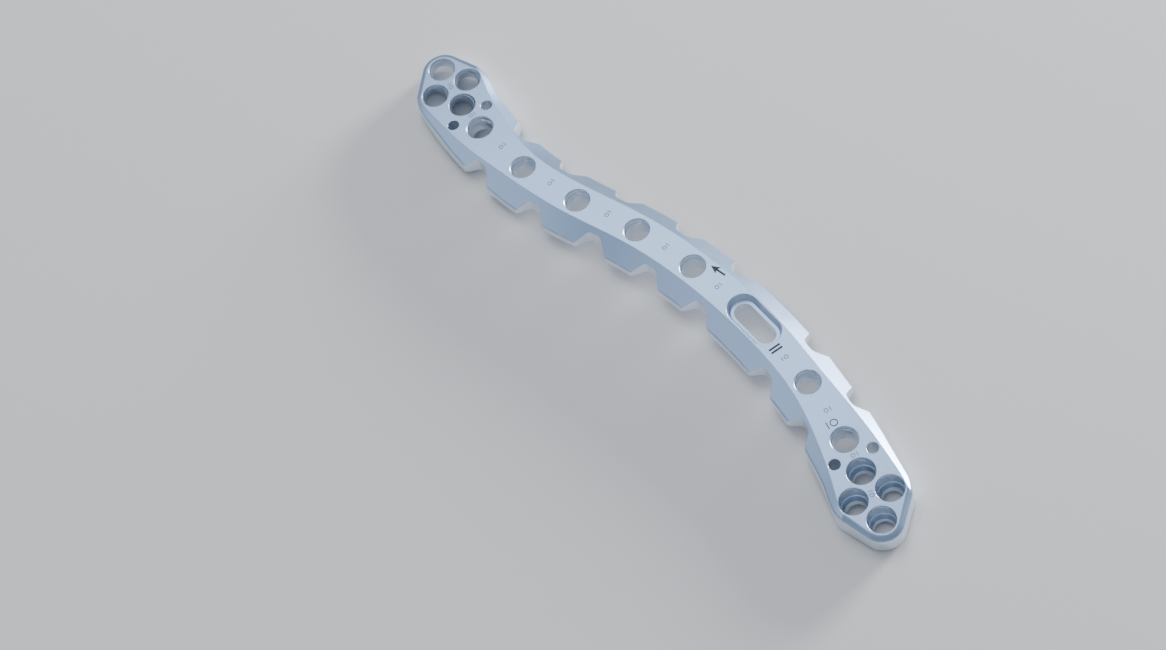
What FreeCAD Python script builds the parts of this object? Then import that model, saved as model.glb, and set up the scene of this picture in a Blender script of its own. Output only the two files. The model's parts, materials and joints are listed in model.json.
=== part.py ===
"""Long curved bone plate, milled from one piece of titanium.

The plate lies along X with its smooth side up. Seen from above its centreline is
an S made of two arcs that meet at the inflection, where the model's own origin is
until the finished plate is set down on its feet. Every hole, notch and section has
a station, the distance along that centreline from the inflection, and an offset
across it, positive towards the left when looking along +X. End A lies towards -X
and end B towards +X. Lengths are in millimetres and angles in degrees.
"""
import FreeCAD, Part
import math
import os

import Sketcher

SIZES = [
    # The S of the centreline and the lengthwise bow
    ("lead_angle", 19.44, "direction of the centreline at the inflection"),
    ("bend_a", 61.0, "centreline radius from the inflection to end A"),
    ("bend_b", 100.0, "centreline radius from the inflection to end B"),
    ("bow", 750.0, "radius of the lengthwise arch of the top"),
    ("crown_ahead", 16.4, "crown of the arch, measured along X from the inflection"),
    # Section of the shaft
    ("thickness", 2.8, "top to underside on the centreline"),
    ("underside", 21.0, "radius of the hollow underside across the plate"),
    ("band_half", 2.62, "half width of the flat top band"),
    ("bevel_angle", 42.0, "slope of the two bevels below the horizontal"),
    ("shaft_half", 5.4, "half width of the shaft over its wings"),
    ("shoulder_round", 0.8, "rounding between bevel and side wall"),
    ("shoulder_slope", 75.0, "slope at which the rounding meets the side wall"),
    ("shoulder_inset", 0.1, "end of the rounding, inward of the side wall"),
    # Stations of the holes
    ("first_step", 2.25, "inflection to the second shaft hole"),
    ("pitch", 11.0, "step between the first four shaft holes"),
    ("slot_step", 13.3, "slot centre to the shaft hole on each side"),
    ("neck_step", 10.8, "outer shaft hole to neck hole at each end"),
    ("middle_step", 5.65, "neck hole to the inner hole of the diamond"),
    ("side_step", 4.0, "inner hole of the diamond to its side holes"),
    ("tip_step", 4.1, "side holes of the diamond to its tip hole"),
    ("side_spread", 2.73, "side holes of the diamond off the centreline"),
    ("wire_step", 3.0, "neck hole to the wire holes beyond it"),
    ("wire_spread", 2.95, "wire holes off the centreline"),
    # Heads
    ("flare_back", 9.0, "start of the flare, inward of each neck hole"),
    ("flare_slope", 0.125, "growth of the band's half width per millimetre in the heads"),
    ("least_bevel", 0.42, "width in plan that the bevel keeps at the corners of the heads"),
    ("corner_a", 3.05, "outline radius about the side holes of end A"),
    ("corner_b", 3.15, "outline radius about the side holes of end B"),
    ("tip_round", 3.2, "outline radius about each tip hole"),
    ("end_round", 0.9, "rounding of the top edge around the heads"),
    # Waist notches
    ("notch_floor", 3.5, "floor of a notch off the centreline"),
    ("notch_floor_half", 1.15, "half length of a notch at its floor"),
    ("notch_mouth_half", 2.7, "half length of a notch at the shaft's side"),
    ("notch_floor_round", 1.4, "rounding between floor and flank"),
    ("notch_corner", 1.2, "rounding of the wing corners"),
    ("slot_wing_half", 8.0, "slot centre to the notches beside it"),
    # Screw holes
    ("shaft_rim", 1.9, "rim radius of a shaft hole"),
    ("neck_rim", 2.0, "rim radius of a neck hole"),
    ("diamond_a_rim", 2.08, "rim radius of a hole in the diamond of end A"),
    ("diamond_b_rim", 2.16, "rim radius of a hole in the diamond of end B"),
    ("bore", 1.6, "radius of the lower bore of every screw hole"),
    ("neck_bore", 1.68, "radius of the lower bore of a neck hole"),
    ("rim_break", 0.12, "edge break at the rim of a shaft or neck hole"),
    ("seat_step", 0.03, "how far the seat of a shaft or neck hole closes in from its rim"),
    ("seat_depth", 0.8, "depth of that seat"),
    ("dish_step", 0.2, "how far the dished seat of a diamond hole closes in from its rim"),
    ("dish_depth", 1.0, "depth of that dish"),
    ("ledge", 0.1, "width of the ledge below a seat"),
    ("ledge_fall", 0.05, "fall of that ledge"),
    ("throat_depth", 1.75, "depth at which the locking cone of a shaft or neck hole reaches the bore"),
    ("dish_throat", 1.85, "depth at which the locking cone of a diamond hole reaches the bore"),
    ("lean_a", 24.0, "lean of the diamond holes of end A off the surface's normal"),
    ("lean_b", 13.0, "lean of the diamond holes of end B off the surface's normal"),
    ("wire_bore", 0.9, "radius of a wire hole"),
    # Compression slot
    ("slot_length", 10.05, "length of the slot's mouth"),
    ("slot_width", 4.8, "width of the slot's mouth"),
    ("ledge_depth", 1.2, "depth of the ledge inside the slot"),
    ("ledge_inset", 0.45, "mouth to ledge in plan, along the sloped wall"),
    ("inner_length", 8.0, "length of the through slot"),
    ("inner_width", 2.9, "width of the through slot"),
]

# How far the cutting shapes reach past the plate, so that they cut it clean through
REACH = 9.0
CREST = 1.0
BELOW = 16.0
BEYOND = 2.3

# How far a cutting shape with a broken rim rises above the plate
LIFT = 0.15

# At the tip holes the crest of the bevel runs this far outside the outline
RUN_OUT = 0.2

# The body with the notches reaches this far past the form's outline
PAST = "0.02"

# Two faces that turn more than this at an edge meet in a sharp corner, in radians
SHARP = 0.2

doc = FreeCAD.newDocument("bone_plate")


def fill_sheet():
    """Put the driving sizes into the sheet, one row each: value and meaning."""
    sheet = doc.addObject("Spreadsheet::Sheet", "sizes")
    for row, (alias, value, meaning) in enumerate(SIZES, start=1):
        sheet.set("A%d" % row, str(value))
        sheet.set("B%d" % row, meaning)
        sheet.setAlias("A%d" % row, alias)
    doc.recompute()
    return sheet


sheet = fill_sheet()


def named(expression):
    """Write each size's name in an expression as its cell in the sheet."""
    words = []
    word = ""
    for letter in expression + " ":
        if letter.isalnum() or letter in "_.":
            word += letter
            continue
        words.append("sizes." + word if word in NAMES else word)
        words.append(letter)
        word = ""
    return "".join(words).strip()


NAMES = {alias for alias, value, meaning in SIZES}


def number(expression):
    """The present value of an expression, to draw a shape before it is bound."""
    return float(sheet.evalExpression(named(expression)))


def bind(item, prop, expression):
    item.setExpression(prop, named(expression))


# Stations, from end A to end B
STATIONS = {"shaft_2": "-first_step"}
STATIONS["shaft_1"] = "(%s - pitch)" % STATIONS["shaft_2"]
STATIONS["neck_a"] = "(%s - neck_step)" % STATIONS["shaft_1"]
STATIONS["inner_a"] = "(%s - middle_step)" % STATIONS["neck_a"]
STATIONS["side_a"] = "(%s - side_step)" % STATIONS["inner_a"]
STATIONS["tip_a"] = "(%s - tip_step)" % STATIONS["side_a"]
STATIONS["wire_a"] = "(%s - wire_step)" % STATIONS["neck_a"]
STATIONS["flare_a"] = "(%s + flare_back)" % STATIONS["neck_a"]
STATIONS["shaft_3"] = "(pitch - first_step)"
STATIONS["shaft_4"] = "(2 * pitch - first_step)"
STATIONS["slot"] = "(%s + slot_step)" % STATIONS["shaft_4"]
STATIONS["shaft_5"] = "(%s + slot_step)" % STATIONS["slot"]
STATIONS["neck_b"] = "(%s + neck_step)" % STATIONS["shaft_5"]
STATIONS["inner_b"] = "(%s + middle_step)" % STATIONS["neck_b"]
STATIONS["side_b"] = "(%s + side_step)" % STATIONS["inner_b"]
STATIONS["tip_b"] = "(%s + tip_step)" % STATIONS["side_b"]
STATIONS["wire_b"] = "(%s + wire_step)" % STATIONS["neck_b"]
STATIONS["flare_b"] = "(%s - flare_back)" % STATIONS["neck_b"]

NOTCHES = [
    "(%s - neck_step / 2)" % STATIONS["shaft_1"],
    "(%s + pitch / 2)" % STATIONS["shaft_1"],
    "(%s + pitch / 2)" % STATIONS["shaft_2"],
    "(%s + pitch / 2)" % STATIONS["shaft_3"],
    "(%s - slot_wing_half)" % STATIONS["slot"],
    "(%s + slot_wing_half)" % STATIONS["slot"],
    "(%s + neck_step / 2)" % STATIONS["shaft_5"],
]


def heading(station):
    """Direction of the centreline at a station."""
    if number(station) < 0:
        return "(lead_angle + (%s) / bend_a * 180 / pi)" % station
    return "(lead_angle - (%s) / bend_b * 180 / pi)" % station


def spot(station, offset="0"):
    """Place in plan of a point that lies offset across the centreline at a station."""
    turn = "(%s * 1deg)" % heading(station)
    lead = "(lead_angle * 1deg)"
    if number(station) < 0:
        x = "((bend_a - (%s)) * sin%s - bend_a * sin%s)" % (offset, turn, lead)
        y = "(bend_a * cos%s - (bend_a - (%s)) * cos%s)" % (lead, offset, turn)
    else:
        x = "(bend_b * sin%s - (bend_b + (%s)) * sin%s)" % (lead, offset, turn)
        y = "((bend_b + (%s)) * cos%s - bend_b * cos%s)" % (offset, turn, lead)
    return x, y


def top(x):
    """Height of the arched top at a place along X."""
    return "(sqrt(bow ^ 2 - (%s - crown_ahead) ^ 2) - bow)" % x


def tilt(x):
    """Angle by which the arched top falls away towards +X at a place along X."""
    return "(asin((%s - crown_ahead) / bow) / 1deg)" % x


def vector(point):
    return FreeCAD.Vector(number(point[0]), number(point[1]), 0)


def fix(sketch, constraint, expression):
    """Add a sized constraint and bind it to the sheet."""
    index = sketch.addConstraint(Sketcher.Constraint(*constraint, number(expression)))
    bind(sketch, "Constraints[%d]" % index, expression)


def pin(sketch, geometry, end, point):
    fix(sketch, ("DistanceX", geometry, end), point[0])
    fix(sketch, ("DistanceY", geometry, end), point[1])


def add_arc(sketch, centre, first, last, clockwise):
    """Add an arc from first to last; returns it with the numbers of those two ends."""
    begin, finish = (last, first) if clockwise else (first, last)
    circle = Part.Circle(centre, FreeCAD.Vector(0, 0, 1), (begin - centre).Length)
    angles = [math.atan2(p.y - centre.y, p.x - centre.x) for p in (begin, finish)]
    index = sketch.addGeometry(Part.ArcOfCircle(circle, *angles))
    return (index, 2, 1) if clockwise else (index, 1, 2)


def add_line(sketch, first, last):
    return sketch.addGeometry(Part.LineSegment(first, last)), 1, 2


def join(sketch, piece, following, kind="Coincident"):
    """Join the last end of one piece to the first end of the next."""
    sketch.addConstraint(Sketcher.Constraint(kind, piece[0], piece[2], following[0], following[1]))


def polygon(sketch, points):
    """A closed outline of straight edges with every corner bound to the sheet."""
    places = [vector(point) for point in points]
    edges = [add_line(sketch, a, b) for a, b in zip(places, places[1:] + places[:1])]
    for edge, following in zip(edges, edges[1:] + edges[:1]):
        join(sketch, edge, following)
    for edge, point in zip(edges, points):
        pin(sketch, edge[0], 1, point)
    return edges


def plane(body, role):
    return next(item for item in body.Origin.OriginFeatures if item.Role == role)


def sketch_on(body, name, role):
    sketch = body.newObject("Sketcher::SketchObject", name)
    sketch.AttachmentSupport = (plane(body, role), [""])
    sketch.MapMode = "FlatFace"
    return sketch


def tangent_points(first, first_radius, second, second_radius, side):
    """Ends of the outer tangent of two circles, on the left (+1) or right (-1) of the way."""
    way = second - first
    lean = math.asin((first_radius - second_radius) / way.Length)
    direction = math.atan2(way.y, way.x) + side * (math.pi / 2 - lean)
    out = FreeCAD.Vector(math.cos(direction), math.sin(direction), 0)
    return first + out * first_radius, second + out * second_radius


def bend_middle(end):
    """Centre of the centreline's arc towards one end."""
    lead = math.radians(number("lead_angle"))
    side = {"a": -1, "b": 1}[end]
    return FreeCAD.Vector(math.sin(lead), -math.cos(lead), 0) * side * number("bend_" + end)


def draw_head(sketch, end, shaft_points, grow):
    """Outline of one head, from the shaft's +offset side round the tip to its -offset side.

    shaft_points are the shaft's last points on those two sides. The side curves run
    along the centreline's bend and meet the corner arcs about the two side holes. The
    whole outline lies grow further out than its sizes say.
    """
    corner = "(corner_%s + %s)" % (end, grow)
    half = "(shaft_half + %s)" % grow
    round_size = "(tip_round + %s)" % grow
    side_station = STATIONS["side_" + end]
    sides = [spot(side_station, sign + "side_spread") for sign in ("+", "-")]
    outs = [vector(spot(side_station, sign + "(side_spread + %s)" % corner)) for sign in ("+", "-")]
    middles = [vector(point) for point in sides]
    tip = spot(STATIONS["tip_" + end])
    tip_middle = vector(tip)
    corner_size = number(corner)
    tip_size = number(round_size)
    clockwise = end == "b"
    hand = 1 if clockwise else -1
    radii = {
        "a": ("bend_a - " + half, "bend_a + " + half),
        "b": ("bend_b + " + half, "bend_b - " + half),
    }[end]
    first = tangent_points(middles[0], corner_size, tip_middle, tip_size, hand)
    last = tangent_points(tip_middle, tip_size, middles[1], corner_size, hand)
    pieces = [
        add_arc(sketch, bend_middle(end), shaft_points[0], outs[0], True),
        add_arc(sketch, middles[0], outs[0], first[0], clockwise),
        add_line(sketch, *first),
        add_arc(sketch, tip_middle, first[1], last[0], clockwise),
        add_line(sketch, *last),
        add_arc(sketch, middles[1], last[1], outs[1], clockwise),
        add_arc(sketch, bend_middle(end), outs[1], shaft_points[1], False),
    ]
    for piece, following in zip(pieces, pieces[1:]):
        join(sketch, piece, following, "Tangent")
    for piece, centre, radius in (
        (pieces[1], sides[0], corner),
        (pieces[3], tip, round_size),
        (pieces[5], sides[1], corner),
    ):
        pin(sketch, piece[0], 3, centre)
        fix(sketch, ("Radius", piece[0]), radius)
    fix(sketch, ("Radius", pieces[0][0]), radii[0])
    fix(sketch, ("Radius", pieces[6][0]), radii[1])
    return pieces


def draw_outline(sketch, grow):
    """The plate's outline in plan without its notches, and grow further out all round."""
    half = "(shaft_half + %s)" % grow
    ends = (NOTCHES[0], "0", NOTCHES[-1])
    upper = [spot(station, half) for station in ends]
    lower = [spot(station, "-" + half) for station in ends]
    high = [vector(point) for point in upper]
    low = [vector(point) for point in lower]
    upper_a = add_arc(sketch, bend_middle("a"), high[0], high[1], False)
    upper_b = add_arc(sketch, bend_middle("b"), high[1], high[2], True)
    head_b = draw_head(sketch, "b", (high[2], low[2]), grow)
    lower_b = add_arc(sketch, bend_middle("b"), low[2], low[1], False)
    lower_a = add_arc(sketch, bend_middle("a"), low[1], low[0], True)
    head_a = draw_head(sketch, "a", (high[0], low[0]), grow)
    for piece, following in (
        (upper_a, upper_b),
        (upper_b, head_b[0]),
        (head_b[-1], lower_b),
        (lower_b, lower_a),
    ):
        join(sketch, piece, following)
    for here, there in (
        ((lower_a[0], lower_a[2]), (head_a[-1][0], head_a[-1][2])),
        ((head_a[0][0], head_a[0][1]), (upper_a[0], upper_a[1])),
    ):
        sketch.addConstraint(Sketcher.Constraint("Coincident", *here, *there))
    for piece, point in ((upper_a, upper[0]), (upper_b, upper[1]), (lower_a, lower[1])):
        pin(sketch, piece[0], piece[1], point)
    for piece, point in ((upper_b, upper[2]), (lower_a, lower[0])):
        pin(sketch, piece[0], piece[2], point)
    pin(sketch, lower_b[0], lower_b[1], lower[2])
    fix(sketch, ("Radius", upper_a[0]), "bend_a - " + half)
    fix(sketch, ("Radius", lower_a[0]), "bend_a + " + half)
    fix(sketch, ("Radius", upper_b[0]), "bend_b + " + half)
    fix(sketch, ("Radius", lower_b[0]), "bend_b - " + half)


def draw_notch(sketch, station, side):
    """One notch in plan: a flat floor, two sloped flanks, open past the shaft's side."""
    turn = "(%s * 1deg)" % heading(station)
    middle_x, middle_y = spot(station)
    run = "(notch_mouth_half - notch_floor_half) / (shaft_half - notch_floor)"
    beyond = "(shaft_half + %g)" % CREST
    mouth = "(notch_floor_half + (%s - notch_floor) * %s)" % (beyond, run)

    def corner(along, offset):
        x = "(%s + (%s) * cos%s - (%s) * sin%s)" % (middle_x, along, turn, offset, turn)
        y = "(%s + (%s) * sin%s + (%s) * cos%s)" % (middle_y, along, turn, offset, turn)
        return x, y

    polygon(sketch, [
        corner("-" + mouth, side + beyond),
        corner("-notch_floor_half", side + "notch_floor"),
        corner("notch_floor_half", side + "notch_floor"),
        corner(mouth, side + beyond),
    ])


def normal_beside(face, edge):
    """Normal of a face at the middle of one of its edges."""
    middle = edge.valueAt((edge.FirstParameter + edge.LastParameter) / 2)
    return face.normalAt(*face.Surface.parameter(middle))


def sharp_uprights(shape, planes):
    """Names of the sharp upright edges whose two faces hold that many planes."""
    found = []
    for index, edge in enumerate(shape.Edges, start=1):
        if not isinstance(edge.Curve, Part.Line) or abs(edge.tangentAt(edge.FirstParameter).z) < 0.99:
            continue
        faces = shape.ancestorsOfType(edge, Part.Face)
        if len(faces) != 2:
            continue
        turn = normal_beside(faces[0], edge).getAngle(normal_beside(faces[1], edge))
        flat = sum(isinstance(face.Surface, Part.Plane) for face in faces)
        if turn > SHARP and flat == planes:
            found.append("Edge%d" % index)
    return found


def rim_of(shape, face):
    """Names of the edges round a face."""
    return [
        "Edge%d" % index
        for index, edge in enumerate(shape.Edges, start=1)
        if any(edge.isSame(other) for other in face.OuterWire.Edges)
    ]


def add_fillet(body, name, edges, radius):
    """Round the named edges of the body's last feature."""
    last = body.Tip
    fillet = body.newObject("PartDesign::Fillet", name)
    fillet.Base = (last, edges)
    bind(fillet, "Radius", radius)
    doc.recompute()
    return fillet


def make_blank(body, grow):
    """The outline, cut square through."""
    outline = sketch_on(body, "outline", "XY_Plane")
    draw_outline(outline, grow)
    blank = body.newObject("PartDesign::Pad", "blank")
    blank.Profile = outline
    blank.Length = 2 * BELOW
    blank.Midplane = True
    doc.recompute()


def make_waisted():
    """The outline with its waist notches, their floors and the wing corners rounded."""
    body = doc.addObject("PartDesign::Body", "waisted")
    make_blank(body, PAST)
    notches = sketch_on(body, "notch_outlines", "XY_Plane")
    for station in NOTCHES:
        for side in ("+", "-"):
            draw_notch(notches, station, side)
    waist = body.newObject("PartDesign::Pocket", "waist")
    waist.Profile = notches
    waist.Type = 1
    waist.Midplane = True
    doc.recompute()
    add_fillet(body, "notch_floors", sharp_uprights(waist.Shape, 2), "notch_floor_round")
    add_fillet(body, "wing_corners", sharp_uprights(body.Tip.Shape, 1), "notch_corner")
    return body


def arch_top(body):
    """Cut the top to its lengthwise arch and round its edge all the way round."""
    sketch = sketch_on(body, "arch_line", "XZ_Plane")
    centre = ("crown_ahead", "-bow")
    half_span = "(%s - %s + 2 * %g)" % (STATIONS["tip_b"], STATIONS["tip_a"], REACH)
    ends = []
    for sign in ("-", "+"):
        x = "(crown_ahead %s %s)" % (sign, half_span)
        ends.append((x, top(x)))
    left, right = [vector(point) for point in ends]
    lid = FreeCAD.Vector(0, BELOW - left.y, 0)
    arc = add_arc(sketch, vector(centre), left, right, True)
    walls = [add_line(sketch, right, right + lid), add_line(sketch, right + lid, left + lid)]
    walls.append(add_line(sketch, left + lid, left))
    loop = [arc] + walls
    for piece, following in zip(loop, loop[1:] + loop[:1]):
        join(sketch, piece, following)
    pin(sketch, arc[0], 3, centre)
    fix(sketch, ("Radius", arc[0]), "bow")
    fix(sketch, ("DistanceX", arc[0], arc[1]), ends[0][0])
    fix(sketch, ("DistanceX", arc[0], arc[2]), ends[1][0])
    pin(sketch, walls[1][0], 1, (ends[1][0], "%g" % BELOW))
    pin(sketch, walls[1][0], 2, (ends[0][0], "%g" % BELOW))
    arch = body.newObject("PartDesign::Pocket", "arch")
    arch.Profile = sketch
    arch.Type = 1
    arch.Midplane = True
    doc.recompute()
    face = next(face for face in arch.Shape.Faces if getattr(face.Surface, "Radius", 0) > number("bow") / 2)
    add_fillet(body, "top_edge", rim_of(arch.Shape, face), "end_round")


def half_out(station):
    """Half width of the outline at a station of the shaft or of a head up to its side holes."""
    place = number(station)
    if number(NOTCHES[0]) <= place <= number(NOTCHES[-1]):
        return "shaft_half"
    end, notch = ("a", NOTCHES[0]) if place < 0 else ("b", NOTCHES[-1])
    share = "((%s - %s) / (%s - %s))" % (station, notch, STATIONS["side_" + end], notch)
    return "(shaft_half + (side_spread + corner_%s - shaft_half) * %s)" % (end, share)


def half_band(station, limit):
    """Half width of the flat top band at a station, where it ends least_bevel inside limit."""
    flare = "max(0; %s - %s; %s - %s)" % (STATIONS["flare_a"], station, station, STATIONS["flare_b"])
    return "min(band_half + flare_slope * %s; %s - least_bevel)" % (flare, limit)


def head_sections(end):
    """Sections of a head past its side holes: station, half width and half band.

    At the corner the bevel narrows with the outline. Past it the bevel's crest leaves
    the outline and runs on beside the straight edge towards the tip.
    """
    towards = {"a": "-", "b": "+"}[end]
    slant = "atan(side_spread / tip_step)"
    corner = "(%s %s corner_%s * sin(%s))" % (STATIONS["side_" + end], towards, end, slant)
    past = "(%s %s (tip_round + %g))" % (STATIONS["tip_" + end], towards, CREST)
    corner_out = "(side_spread + corner_%s * cos(%s))" % (end, slant)
    tip_out = "(tip_round / cos(%s))" % slant
    past_out = "(%s - (tip_round + %g) * tan(%s))" % (tip_out, CREST, slant)
    rows = [(corner, corner_out, half_band(corner, corner_out))]
    for station, out, clear in ((STATIONS["tip_" + end], tip_out, RUN_OUT), (past, past_out, CREST)):
        band = "(%s + %g)" % (out, clear)
        rows.append((station, "(%s + least_bevel)" % band, band))
    return rows if end == "b" else rows[::-1]


def plain_section(station):
    return station, half_out(station), half_band(station, half_out(station))


def section(body, name, station):
    """An empty sketch that stands across the plate at a station, on the arched top."""
    sketch = body.newObject("Sketcher::SketchObject", name)
    x, y = spot(station)
    frame = "placement(vector(%s; %s; %s); rotation(%s + 90; 0; 90))" % (x, y, top(x), heading(station))
    bind(sketch, "Placement", frame)
    doc.recompute([sketch])
    return sketch


def draw_shoulder(sketch, out, band, side):
    """What is milled off one side: down the bevel, round the shoulder and out."""
    crest_half = "(%s - %g / tan(bevel_angle * 1deg))" % (band, CREST)
    round_end = "(%s - shoulder_inset)" % out
    mirror = {"+": 1, "-": -1}[side]
    bevel = math.radians(number("bevel_angle"))
    slope = math.radians(number("shoulder_slope"))
    size = number("shoulder_round")
    middle_x = number(round_end) - size * math.sin(slope)
    start_x = middle_x + size * math.sin(bevel)
    start_y = (number(crest_half) - start_x) * math.tan(bevel) + CREST
    middle_y = start_y - size * math.cos(bevel)
    finish_y = middle_y + size * math.cos(slope)
    foot_x = number(round_end) + (finish_y + BELOW) / math.tan(slope)

    def at(x, y):
        return FreeCAD.Vector(mirror * x, y, 0)

    crest = at(number(crest_half), CREST)
    start = at(start_x, start_y)
    finish = at(number(round_end), finish_y)
    foot = at(foot_x, -BELOW)
    outer_low = at(2 * REACH, -BELOW)
    outer_high = at(2 * REACH, CREST)
    pieces = [
        add_line(sketch, crest, start),
        add_arc(sketch, at(middle_x, middle_y), start, finish, mirror > 0),
        add_line(sketch, finish, foot),
        add_line(sketch, foot, outer_low),
        add_line(sketch, outer_low, outer_high),
        add_line(sketch, outer_high, crest),
    ]
    join(sketch, pieces[0], pieces[1], "Tangent")
    join(sketch, pieces[1], pieces[2], "Tangent")
    for piece, following in zip(pieces[2:], pieces[3:] + pieces[:1]):
        join(sketch, piece, following)
    pin(sketch, pieces[0][0], 1, (side + crest_half, "%g" % CREST))
    fix(sketch, ("Radius", pieces[1][0]), "shoulder_round")
    fix(sketch, ("DistanceX", pieces[1][0], pieces[1][2]), side + round_end)
    fix(sketch, ("DistanceY", pieces[2][0], 2), "-%g" % BELOW)
    pin(sketch, pieces[4][0], 1, (side + "%g" % (2 * REACH), "-%g" % BELOW))
    pin(sketch, pieces[4][0], 2, (side + "%g" % (2 * REACH), "%g" % CREST))
    for piece, angle in ((pieces[0], "bevel_angle"), (pieces[2], "shoulder_slope")):
        turn = "-%s" % angle if mirror > 0 else "%s - 180" % angle
        index = sketch.addConstraint(Sketcher.Constraint("Angle", piece[0], math.radians(number(turn))))
        bind(sketch, "Constraints[%d]" % index, "(%s) * 1deg" % turn)


def draw_hollow(sketch):
    """The underside's hollow and everything below it."""
    centre = ("0", "-(thickness + underside)")
    drop = "-(thickness + underside - sqrt(underside ^ 2 - %g ^ 2))" % REACH
    left = ("-%g" % REACH, drop)
    right = ("%g" % REACH, drop)
    ends = [vector(left), vector(right)]
    low = [FreeCAD.Vector(point.x, -BELOW, 0) for point in ends]
    pieces = [
        add_arc(sketch, vector(centre), ends[0], ends[1], True),
        add_line(sketch, ends[1], low[1]),
        add_line(sketch, low[1], low[0]),
        add_line(sketch, low[0], ends[0]),
    ]
    for piece, following in zip(pieces, pieces[1:] + pieces[:1]):
        join(sketch, piece, following)
    pin(sketch, pieces[0][0], 3, centre)
    fix(sketch, ("Radius", pieces[0][0]), "underside")
    fix(sketch, ("DistanceX", pieces[0][0], pieces[0][1]), left[0])
    fix(sketch, ("DistanceX", pieces[0][0], pieces[0][2]), right[0])
    pin(sketch, pieces[2][0], 1, (right[0], "-%g" % BELOW))
    pin(sketch, pieces[2][0], 2, (left[0], "-%g" % BELOW))


def cut_along(body, name, rows, draw):
    """Mill a changing section off the plate, through a section at every row's station."""
    sketches = []
    for index, row in enumerate(rows):
        sketch = section(body, "%s_section_%d" % (name, index), row[0])
        draw(sketch, row)
        sketches.append(sketch)
    doc.recompute()
    loft = body.newObject("PartDesign::SubtractiveLoft", name)
    loft.Profile = sketches[0]
    loft.Sections = sketches[1:]
    doc.recompute()
    return loft


def make_form():
    """The plate without its holes and notches."""
    body = doc.addObject("PartDesign::Body", "form")
    make_blank(body, "0")
    arch_top(body)
    middle = [plain_section(station) for station in BETWEEN]
    rows = head_sections("a") + middle + head_sections("b")
    cut_along(body, "shoulder_left", rows, lambda sketch, row: draw_shoulder(sketch, row[1], row[2], "+"))
    cut_along(body, "shoulder_right", rows, lambda sketch, row: draw_shoulder(sketch, row[1], row[2], "-"))
    cut_along(body, "hollow", rows[:1] + rows[5:-5] + rows[-1:], lambda sketch, row: draw_hollow(sketch))
    return body


# Stations of the sections between the side holes of the two heads
BETWEEN = (
    [STATIONS[name] for name in ("side_a", "inner_a", "neck_a")]
    + [NOTCHES[0]]
    + [STATIONS[name] for name in ("shaft_1", "shaft_2", "shaft_3", "shaft_4", "slot", "shaft_5")]
    + [NOTCHES[-1]]
    + [STATIONS[name] for name in ("neck_b", "inner_b", "side_b")]
)


def revolved(body, name, points):
    """Turn a bound outline about the body's own axis."""
    sketch = sketch_on(body, name + "_profile", "XZ_Plane")
    polygon(sketch, points)
    turned = body.newObject("PartDesign::Revolution", name)
    turned.Profile = sketch
    turned.ReferenceAxis = (sketch, ["V_Axis"])
    turned.Angle = 360
    doc.recompute()


def make_screw_hole(name, rim, seat, bore):
    """Cutting shape of a screw hole, down its axis from the plate's top.

    A seat closes in from rim to seat, a ledge steps in below it, and the locking
    cone runs from the ledge down to the bore.
    """
    body = doc.addObject("PartDesign::Body", name)
    revolved(body, name + "_turned", [
        ("0", "%g" % LIFT),
        ("(%s + rim_break + %g)" % (rim, LIFT), "%g" % LIFT),
        (rim, "-rim_break"),
        (seat, "-seat_depth"),
        ("(%s - ledge)" % seat, "-(seat_depth + ledge_fall)"),
        (bore, "-throat_depth"),
        (bore, "-(thickness + %g)" % BEYOND),
        ("0", "-(thickness + %g)" % BEYOND),
    ])
    return body


def make_leaned_hole(name, rim):
    """Cutting shape of a diamond hole: its rim is sharp, because it leans."""
    body = doc.addObject("PartDesign::Body", name)
    seat = "(%s - dish_step)" % rim
    revolved(body, name + "_turned", [
        ("0", "%g" % BEYOND),
        (rim, "%g" % BEYOND),
        (rim, "0"),
        (seat, "-dish_depth"),
        ("(%s - ledge)" % seat, "-(dish_depth + ledge_fall)"),
        ("bore", "-dish_throat"),
        ("bore", "-(thickness + %g)" % BEYOND),
        ("0", "-(thickness + %g)" % BEYOND),
    ])
    return body


def make_wire_hole():
    body = doc.addObject("PartDesign::Body", "wire_hole")
    revolved(body, "wire_hole_turned", [
        ("0", "%g" % BEYOND),
        ("wire_bore", "%g" % BEYOND),
        ("wire_bore", "-(thickness + %g)" % BEYOND),
        ("0", "-(thickness + %g)" % BEYOND),
    ])
    return body


def draw_slot(sketch, length, width):
    """A round-ended slot along the plate, about the sketch's origin."""
    half = "((%s - %s) / 2)" % (length, width)
    side = "(%s / 2)" % width
    left = FreeCAD.Vector(-number(half), 0, 0)
    right = FreeCAD.Vector(number(half), 0, 0)
    up = FreeCAD.Vector(0, number(side), 0)
    pieces = [
        add_arc(sketch, right, right - up, right + up, False),
        add_line(sketch, right + up, left + up),
        add_arc(sketch, left, left + up, left - up, False),
        add_line(sketch, left - up, right - up),
    ]
    for piece, following in zip(pieces, pieces[1:] + pieces[:1]):
        join(sketch, piece, following)
    pin(sketch, pieces[1][0], 1, (half, side))
    pin(sketch, pieces[1][0], 2, ("-" + half, side))
    pin(sketch, pieces[3][0], 1, ("-" + half, "-" + side))
    pin(sketch, pieces[3][0], 2, (half, "-" + side))
    fix(sketch, ("DistanceX", pieces[0][0], 3), half)
    fix(sketch, ("DistanceX", pieces[2][0], 3), "-" + half)


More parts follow.
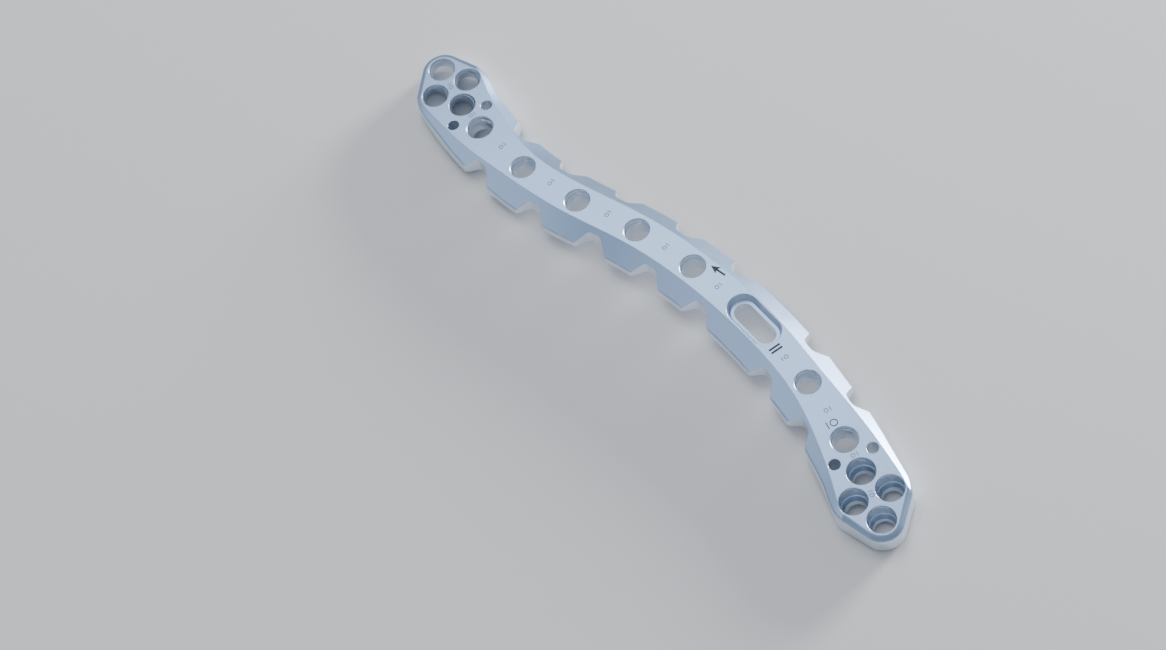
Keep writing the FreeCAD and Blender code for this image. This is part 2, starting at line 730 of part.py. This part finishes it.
def make_slot():
    """Cutting shape of the slot: a mouth with sloped walls, a ledge and a through slot."""
    body = doc.addObject("PartDesign::Body", "slot_cutter")
    ledge = sketch_on(body, "ledge_outline", "XY_Plane")
    bind(ledge, "AttachmentOffset", "placement(vector(0; 0; -ledge_depth); rotation(0; 0; 0))")
    draw_slot(ledge, "(slot_length - 2 * ledge_inset)", "(slot_width - 2 * ledge_inset)")
    mouth = body.newObject("PartDesign::Pad", "mouth")
    mouth.Profile = ledge
    bind(mouth, "Length", "ledge_depth + %g" % CREST)
    bind(mouth, "TaperAngle", "atan(ledge_inset / ledge_depth)")
    doc.recompute()
    through = sketch_on(body, "through_outline", "XY_Plane")
    draw_slot(through, "inner_length", "inner_width")
    slot = body.newObject("PartDesign::Pad", "through_slot")
    slot.Profile = through
    bind(slot, "Length", "thickness + %g" % BEYOND)
    slot.Reversed = True
    doc.recompute()
    return body


def place(master, name, station, offset="0", lean="0"):
    """A copy of a cutting shape, square to the arched top at a station but for its lean."""
    x, y = spot(station, offset)
    link = doc.addObject("App::Link", name)
    link.LinkedObject = master
    turn = "%s + (%s)" % (tilt(x), lean)
    bind(link, "Placement", "placement(vector(%s; %s; %s); rotation(%s; %s; 0))" % (
        x, y, top(x), heading(station), turn))
    return link


def make_holes():
    """Every hole's cutting shape in its place."""
    shaft = make_screw_hole("shaft_hole", "shaft_rim", "(shaft_rim - seat_step)", "bore")
    neck = make_screw_hole("neck_hole", "neck_rim", "(neck_rim - seat_step)", "neck_bore")
    diamond_a = make_leaned_hole("diamond_hole_a", "diamond_a_rim")
    diamond_b = make_leaned_hole("diamond_hole_b", "diamond_b_rim")
    wire = make_wire_hole()
    slot = make_slot()
    holes = [place(shaft, "cut_shaft_%d" % n, STATIONS["shaft_%d" % n]) for n in (1, 2, 3, 4, 5)]
    holes.append(place(slot, "cut_slot", STATIONS["slot"]))
    for end, diamond, lean in (("a", diamond_a, "lean_a"), ("b", diamond_b, "-lean_b")):
        holes.append(place(neck, "cut_neck_" + end, STATIONS["neck_" + end]))
        holes.append(place(diamond, "cut_inner_" + end, STATIONS["inner_" + end], "0", lean))
        holes.append(place(diamond, "cut_left_" + end, STATIONS["side_" + end], "side_spread", lean))
        holes.append(place(diamond, "cut_right_" + end, STATIONS["side_" + end], "-side_spread", lean))
        holes.append(place(diamond, "cut_tip_" + end, STATIONS["tip_" + end], "0", lean))
        holes.append(place(wire, "cut_wire_left_" + end, STATIONS["wire_" + end], "wire_spread"))
        holes.append(place(wire, "cut_wire_right_" + end, STATIONS["wire_" + end], "-wire_spread"))
    doc.recompute()
    cuts = doc.addObject("Part::Compound", "all_holes")
    cuts.Links = holes
    doc.recompute()
    return cuts


def make_plate():
    """Join form and notches, cut the holes, and set the plate down with its middle at the origin."""
    shapes = [make_form(), make_waisted()]
    solid = doc.addObject("Part::MultiCommon", "solid_plate")
    solid.Shapes = shapes
    doc.recompute()
    box = solid.Shape.optimalBoundingBox(True, False)
    plate = doc.addObject("Part::Cut", "bone_plate")
    plate.Base = solid
    plate.Tool = make_holes()
    plate.Placement.Base = FreeCAD.Vector(-box.Center.x, -box.Center.y, -box.ZMin)
    doc.recompute()
    return plate


def check(plate):
    """Stop with a message if anything in the document failed or the plate isn't one sound solid."""
    failed = [item.Name for item in doc.Objects if "Invalid" in item.State or "Error" in item.State]
    if failed:
        raise RuntimeError("failed: " + ", ".join(failed))
    if plate.Shape.isNull() or not plate.Shape.isValid() or len(plate.Shape.Solids) != 1:
        raise RuntimeError("the plate is not one valid solid")


plate = make_plate()
check(plate)
os.makedirs("parts", exist_ok=True)
plate.Shape.exportStep("parts/bone_plate.step")
print("volume", round(plate.Shape.Volume, 2), "faces", len(plate.Shape.Faces))
print("set down by", plate.Placement.Base)
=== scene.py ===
import json
import math

import bpy
from mathutils import Matrix, Vector


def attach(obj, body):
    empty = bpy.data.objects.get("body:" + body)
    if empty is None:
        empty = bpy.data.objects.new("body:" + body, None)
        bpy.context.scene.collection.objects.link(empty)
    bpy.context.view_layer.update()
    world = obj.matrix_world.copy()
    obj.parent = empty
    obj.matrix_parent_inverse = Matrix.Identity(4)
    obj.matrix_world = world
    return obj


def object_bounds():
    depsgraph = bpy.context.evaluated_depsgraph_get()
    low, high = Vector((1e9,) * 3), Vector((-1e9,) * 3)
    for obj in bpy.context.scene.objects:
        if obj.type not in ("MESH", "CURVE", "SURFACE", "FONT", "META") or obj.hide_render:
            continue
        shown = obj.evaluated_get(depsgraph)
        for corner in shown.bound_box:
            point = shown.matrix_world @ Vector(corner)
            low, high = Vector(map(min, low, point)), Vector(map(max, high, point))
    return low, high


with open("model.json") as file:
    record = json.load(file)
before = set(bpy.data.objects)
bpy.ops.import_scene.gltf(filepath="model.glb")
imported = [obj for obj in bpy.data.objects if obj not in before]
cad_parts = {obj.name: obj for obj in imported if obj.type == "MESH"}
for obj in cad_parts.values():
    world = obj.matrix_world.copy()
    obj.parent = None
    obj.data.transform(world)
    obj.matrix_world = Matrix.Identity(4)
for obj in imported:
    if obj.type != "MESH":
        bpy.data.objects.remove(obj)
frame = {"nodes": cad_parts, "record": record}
cad_low, cad_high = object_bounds()

# The view of the plate
# A long lens half a metre off looks down across the plate from its -Y side, rolled
# so that end A lies at the upper left and end B at the lower right.

view_azimuth = math.radians(-20.36)
view_elevation = math.radians(56.50)
view_roll = math.radians(-19.60)
view_distance = 0.5687
view_aim = Vector((-0.0034, -0.0130, 0))

towards_lens = Vector((
    math.cos(view_elevation) * math.cos(view_azimuth),
    math.cos(view_elevation) * math.sin(view_azimuth),
    math.sin(view_elevation),
))
level = Vector((-math.sin(view_azimuth), math.cos(view_azimuth), 0))
picture_right = level * math.cos(view_roll) + towards_lens.cross(level) * math.sin(view_roll)
picture_up = towards_lens.cross(picture_right)
camera_data = bpy.data.cameras.new("camera")
camera_data.sensor_width = 36
camera_data.lens = 120.16
camera = bpy.data.objects.new("camera", camera_data)
bpy.context.scene.collection.objects.link(camera)
turn = Matrix((picture_right, picture_up, towards_lens)).transposed()
camera.matrix_world = Matrix.Translation(view_aim + towards_lens * view_distance) @ turn.to_4x4()
bpy.context.scene.camera = camera

# The plate
# One piece of implant titanium, milled all over, tumbled to a fine satin and
# anodised to a pale steel blue. Its edges carry a painted highlight: a colour a
# little brighter than the rest.


def new_group(name, inputs, outputs):
    """A shader node group with its named sockets."""
    group = bpy.data.node_groups.new(name, "ShaderNodeTree")
    for socket, value in inputs:
        made = group.interface.new_socket(socket, in_out="INPUT", socket_type="NodeSocketFloat")
        made.default_value = value
    for socket, kind in outputs:
        group.interface.new_socket(socket, in_out="OUTPUT", socket_type=kind)
    return group


def add_node(tree, kind, links=(), **settings):
    """A node with its plain settings; links gives its inputs a socket or a value."""
    node = tree.nodes.new(kind)
    for name, value in settings.items():
        setattr(node, name, value)
    for name, source in dict(links).items():
        if isinstance(source, bpy.types.NodeSocket):
            tree.links.new(source, node.inputs[name])
        else:
            node.inputs[name].default_value = source
    return node


def make_satin_grain():
    """The tumbled surface: a fine height, and a slow mottle for colour and gloss."""
    group = new_group(
        "satin grain",
        [("Grain Scale", 9000.0), ("Cloud Scale", 160.0)],
        [("Height", "NodeSocketFloat"), ("Mottle", "NodeSocketFloat")],
    )
    start = add_node(group, "NodeGroupInput")
    place = add_node(group, "ShaderNodeTexCoord")
    fine = add_node(group, "ShaderNodeTexNoise", {
        "Vector": place.outputs["Object"], "Scale": start.outputs["Grain Scale"], "Detail": 3.0})
    cloud = add_node(group, "ShaderNodeTexNoise", {
        "Vector": place.outputs["Object"], "Scale": start.outputs["Cloud Scale"], "Detail": 2.0})
    add_node(group, "NodeGroupOutput", {
        "Height": fine.outputs["Fac"], "Mottle": cloud.outputs["Fac"]})
    return group


def make_cutter_lines():
    """The fine level lines that a cutter leaves round upright walls, and where those walls are."""
    group = new_group(
        "cutter lines",
        [("Line Scale", 2000.0)],
        [("Height", "NodeSocketFloat"), ("Wall", "NodeSocketFloat")],
    )
    start = add_node(group, "NodeGroupInput")
    place = add_node(group, "ShaderNodeTexCoord")
    lines = add_node(group, "ShaderNodeTexWave", {
        "Vector": place.outputs["Object"], "Scale": start.outputs["Line Scale"],
        "Distortion": 0.6}, bands_direction="Z")
    surface = add_node(group, "ShaderNodeNewGeometry")
    parts = add_node(group, "ShaderNodeSeparateXYZ", {"Vector": surface.outputs["Normal"]})
    upward = add_node(group, "ShaderNodeMath", {0: parts.outputs["Z"]}, operation="ABSOLUTE")
    wall = add_node(group, "ShaderNodeMapRange", {
        "Value": upward.outputs["Value"], "From Min": 0.5, "From Max": 0.2})
    height = add_node(group, "ShaderNodeMath", {
        0: lines.outputs["Fac"], 1: wall.outputs["Result"]}, operation="MULTIPLY")
    add_node(group, "NodeGroupOutput", {
        "Height": height.outputs["Value"], "Wall": wall.outputs["Result"]})
    return group


def make_worked_edge():
    """Softened edges: the bent normal, and a mask that is 1 where an edge turns away."""
    group = new_group(
        "worked edge",
        [("Radius", 0.0001)],
        [("Normal", "NodeSocketVector"), ("Edge", "NodeSocketFloat")],
    )
    start = add_node(group, "NodeGroupInput")
    bevel = add_node(group, "ShaderNodeBevel", {"Radius": start.outputs["Radius"]}, samples=6)
    flat = add_node(group, "ShaderNodeNewGeometry")
    meet = add_node(group, "ShaderNodeVectorMath", {
        0: bevel.outputs["Normal"], 1: flat.outputs["Normal"]}, operation="DOT_PRODUCT")
    edge = add_node(group, "ShaderNodeMapRange", {
        "Value": meet.outputs["Value"], "From Min": 1.0, "From Max": 0.8})
    add_node(group, "NodeGroupOutput", {"Normal": bevel.outputs["Normal"], "Edge": edge.outputs["Result"]})
    return group


satin_grain = make_satin_grain()
cutter_lines = make_cutter_lines()
worked_edge = make_worked_edge()


def make_titanium():
    """Satin metal whose blue drifts slowly, with a painted highlight along its edges and painted light on
    its upright walls.
    """
    material = bpy.data.materials.new("anodised titanium")
    material.use_nodes = True
    tree = material.node_tree
    shader = tree.nodes["Principled BSDF"]
    grain = add_node(tree, "ShaderNodeGroup", node_tree=satin_grain)
    lines = add_node(tree, "ShaderNodeGroup", node_tree=cutter_lines)
    edge = add_node(tree, "ShaderNodeGroup", node_tree=worked_edge)
    edge.inputs["Radius"].default_value = 0.00012
    tone = add_node(tree, "ShaderNodeMix", {"Factor": grain.outputs["Mottle"]}, data_type="RGBA")
    tone.inputs["A"].default_value = (0.25, 0.36, 0.55, 1)
    tone.inputs["B"].default_value = (0.29, 0.40, 0.59, 1)
    # Painted light: upright walls, the walls of the holes among them, take a pale colour that lightens the
    # shade in them.
    painted_wall_light = add_node(tree, "ShaderNodeMix", {"Factor": lines.outputs["Wall"]}, data_type="RGBA")
    tree.links.new(tone.outputs["Result"], painted_wall_light.inputs["A"])
    painted_wall_light.inputs["B"].default_value = (0.80, 0.88, 0.98, 1)
    # Painted highlight: a paler colour where an edge turns away from the flat.
    painted_edge_highlight = add_node(tree, "ShaderNodeMix", {"Factor": edge.outputs["Edge"]}, data_type="RGBA")
    tree.links.new(painted_wall_light.outputs["Result"], painted_edge_highlight.inputs["A"])
    painted_edge_highlight.inputs["B"].default_value = (0.70, 0.80, 0.93, 1)
    tree.links.new(painted_edge_highlight.outputs["Result"], shader.inputs["Base Color"])
    gloss = add_node(tree, "ShaderNodeMapRange", {
        "Value": grain.outputs["Mottle"], "To Min": 0.30, "To Max": 0.38})
    tree.links.new(gloss.outputs["Result"], shader.inputs["Roughness"])
    shader.inputs["Metallic"].default_value = 1.0
    scored = add_node(tree, "ShaderNodeBump", {
        "Strength": 0.35, "Distance": 0.00001, "Height": lines.outputs["Height"],
        "Normal": edge.outputs["Normal"]})
    tumbled = add_node(tree, "ShaderNodeBump", {
        "Strength": 0.25, "Distance": 0.00001, "Height": grain.outputs["Height"],
        "Normal": scored.outputs["Normal"]})
    tree.links.new(tumbled.outputs["Normal"], shader.inputs["Normal"])
    return material


titanium = make_titanium()
plate = frame["nodes"]["bone_plate"]
plate.data.materials.clear()
plate.data.materials.append(titanium)

# The laser marks
# Dark oxide that a laser drew on the finished top: an arrow beside a screw hole, two
# bars past the slot, a small ring with a tick between neighbouring holes, and a larger
# one by the neck hole of end B.

arch_radius = 0.750
crown_x = 0.00028
mark_rise = 0.00001
mark_sink = 0.00005
line_width = 0.00032
ring_radius = 0.00036
fine_width = 0.00013
barb_back = 0.00140
barb_half = 0.00065
barb_notch = 0.00110
bar_length = 0.0019
bar_aside = -0.0004

mounts = {mount["name"]: mount for mount in frame["record"]["mounts"]}


def arch_height(x):
    """Height of the plate's arched top at a place along it."""
    return cad_high[2] - arch_radius + math.sqrt(arch_radius ** 2 - (x - crown_x) ** 2)


def rim_place(name):
    """Where a hole's axis comes out of the top."""
    place = Vector(mounts[name]["pos_m"])
    axis = Vector(mounts[name]["axis"])
    for turn_count in range(3):
        place = place + axis * ((arch_height(place.x) - place.z) / axis.z)
    return place.to_2d()


def between(first, second, share=0.5):
    """A place on the way from one hole to another, and the direction of that way."""
    start = rim_place(first)
    way = rim_place(second) - start
    return start + way * share, way.normalized()


def along(place, way, forward, across):
    """The point that lies so far forward and to the left of a place."""
    return place + way * forward + Vector((-way.y, way.x)) * across


def bar(place, way, forward, across, length, width):
    """Outline of a short bar: its middle, then its size along the way and across it."""
    corners = ((-1, -1), (1, -1), (1, 1), (-1, 1))
    return [
        along(place, way, forward + a * length / 2, across + b * width / 2)
        for a, b in corners
    ]


def lay_mark(name, strips, material):
    """A mark on the top, made of thin closed strips, each given by its outline."""
    points = []
    faces = []
    for outline in strips:
        count = len(outline)
        first = len(points)
        for lift in (-mark_sink, mark_rise):
            points += [(p.x, p.y, arch_height(p.x) + lift) for p in outline]
        faces.append([first + n for n in reversed(range(count))])
        faces.append([first + count + n for n in range(count)])
        for n in range(count):
            after = (n + 1) % count
            faces.append([first + n, first + after, first + count + after, first + count + n])
    mesh = bpy.data.meshes.new(name)
    mesh.from_pydata(points, [], faces)
    mesh.materials.append(material)
    mark = bpy.data.objects.new(name, mesh)
    bpy.context.scene.collection.objects.link(mark)
    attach(mark, "root")
    return mark


def make_oxide(name, pale, dark):
    """Laser-darkened metal, mottled where the beam's passes overlap."""
    material = bpy.data.materials.new(name)
    material.use_nodes = True
    tree = material.node_tree
    shader = tree.nodes["Principled BSDF"]
    grain = add_node(tree, "ShaderNodeGroup", node_tree=satin_grain)
    grain.inputs["Cloud Scale"].default_value = 2500.0
    tone = add_node(tree, "ShaderNodeMix", {"Factor": grain.outputs["Mottle"]}, data_type="RGBA")
    tone.inputs["A"].default_value = dark
    tone.inputs["B"].default_value = pale
    tree.links.new(tone.outputs["Result"], shader.inputs["Base Color"])
    shader.inputs["Metallic"].default_value = 0.3
    shader.inputs["Roughness"].default_value = 0.55
    rough = add_node(tree, "ShaderNodeBump", {
        "Strength": 0.3, "Distance": 0.00001, "Height": grain.outputs["Height"]})
    tree.links.new(rough.outputs["Normal"], shader.inputs["Normal"])
    return material


black_oxide = make_oxide("black oxide", (0.035, 0.035, 0.040, 1), (0.012, 0.012, 0.015, 1))
grey_oxide = make_oxide("grey oxide", (0.16, 0.21, 0.29, 1), (0.10, 0.13, 0.19, 1))

arrow_head = rim_place("screw_shaft_4") + Vector((0.00183, 0.00202))
arrow_tail = rim_place("screw_shaft_4") + Vector((0.00453, 0.00252))
arrow_way = (arrow_tail - arrow_head).normalized()
arrow_length = (arrow_tail - arrow_head).length
lay_mark("arrow_mark", [
    [
        arrow_head,
        along(arrow_head, arrow_way, barb_back, -barb_half),
        along(arrow_head, arrow_way, barb_notch, 0),
        along(arrow_head, arrow_way, barb_back, barb_half),
    ],
    bar(arrow_head, arrow_way, (barb_notch + arrow_length) / 2, 0, arrow_length - barb_notch, line_width),
], black_oxide)

slot_place, slot_way = between("slot", "screw_shaft_5", 0)
lay_mark("slot_bars", [
    bar(slot_place, slot_way, 0.00565, bar_aside, line_width, bar_length),
    bar(slot_place, slot_way, 0.00625, bar_aside, line_width, bar_length),
], black_oxide)


def ring_and_tick(place, way, radius, width):
    """Strips of a small ring with a tick beside it."""
    steps = 16
    strips = []
    for n in range(steps):
        corners = []
        for step, reach in ((n, radius), (n + 1, radius), (n + 1, radius - width), (n, radius - width)):
            angle = 2 * math.pi * step / steps
            corners.append(along(place, way, -reach * math.cos(angle), -reach * math.sin(angle)))
        strips.append(corners[::-1])
    strips.append(bar(place, way, 0, radius + 2.5 * width, 2 * radius, width))
    return strips


neighbours = [
    ("screw_a_right", "screw_a_left", 0.5),
    ("screw_a_inner", "screw_a_neck", 0.5),
    ("screw_a_neck", "screw_shaft_1", 0.5),
    ("screw_shaft_1", "screw_shaft_2", 0.5),
    ("screw_shaft_2", "screw_shaft_3", 0.5),
    ("screw_shaft_3", "screw_shaft_4", 0.5),
    ("screw_shaft_4", "slot", 0.4),
    ("screw_shaft_5", "slot", 0.4),
    ("screw_shaft_5", "screw_b_neck", 0.5),
    ("screw_b_neck", "screw_b_inner", 0.5),
    ("screw_b_right", "screw_b_left", 0.5),
]
for number, (first, second, share) in enumerate(neighbours, start=1):
    place, way = between(first, second, share)
    lay_mark("step_mark_%d" % number, ring_and_tick(place, way, ring_radius, fine_width), grey_oxide)

place, way = between("screw_b_neck", "screw_shaft_5", 0.29)
lay_mark("end_mark", ring_and_tick(place, way, 1.7 * ring_radius, 1.2 * fine_width), black_oxide)

# The floor and the light
# A plain pale floor. A wide soft light stands where the top mirrors it, a small one
# low behind the plate whitens the far bevel, and one in front lifts the near bevels.

floor_reach = 3.0
floor_mesh = bpy.data.meshes.new("floor")
floor_mesh.from_pydata(
    [(-floor_reach, -floor_reach, 0), (floor_reach, -floor_reach, 0),
     (floor_reach, floor_reach, 0), (-floor_reach, floor_reach, 0)], [], [(0, 1, 2, 3)])
floor = bpy.data.objects.new("floor", floor_mesh)
bpy.context.scene.collection.objects.link(floor)
floor_paint = bpy.data.materials.new("pale floor")
floor_paint.use_nodes = True
floor_shader = floor_paint.node_tree.nodes["Principled BSDF"]
floor_shader.inputs["Base Color"].default_value = (0.66, 0.67, 0.69, 1)
floor_shader.inputs["Roughness"].default_value = 0.7
floor_mesh.materials.append(floor_paint)


def add_light(name, place, aim, size, power):
    """A soft square-cornered light at a place, turned to what it aims at."""
    data = bpy.data.lights.new(name, "AREA")
    data.shape = "RECTANGLE"
    data.size, data.size_y = size
    data.energy = power
    light = bpy.data.objects.new(name, data)
    light.location = place
    light.rotation_mode = "QUATERNION"
    light.rotation_quaternion = (Vector(aim) - Vector(place)).to_track_quat("-Z", "Y")
    bpy.context.scene.collection.objects.link(light)


add_light("over", (-0.35, 0.11, 0.62), (0, 0, 0), (0.5, 0.4), 2.0)
add_light("behind", (-0.057, 0.60, 0.085), (0.045, 0, 0), (0.18, 0.10), 10.0)
add_light("front", (-0.34, -0.59, 0.17), (0, 0, 0), (0.5, 0.3), 0.55)

world = bpy.data.worlds.new("studio")
world.use_nodes = True
world.node_tree.nodes["Background"].inputs["Color"].default_value = (0.78, 0.82, 0.88, 1)
world.node_tree.nodes["Background"].inputs["Strength"].default_value = 0.70
bpy.context.scene.world = world
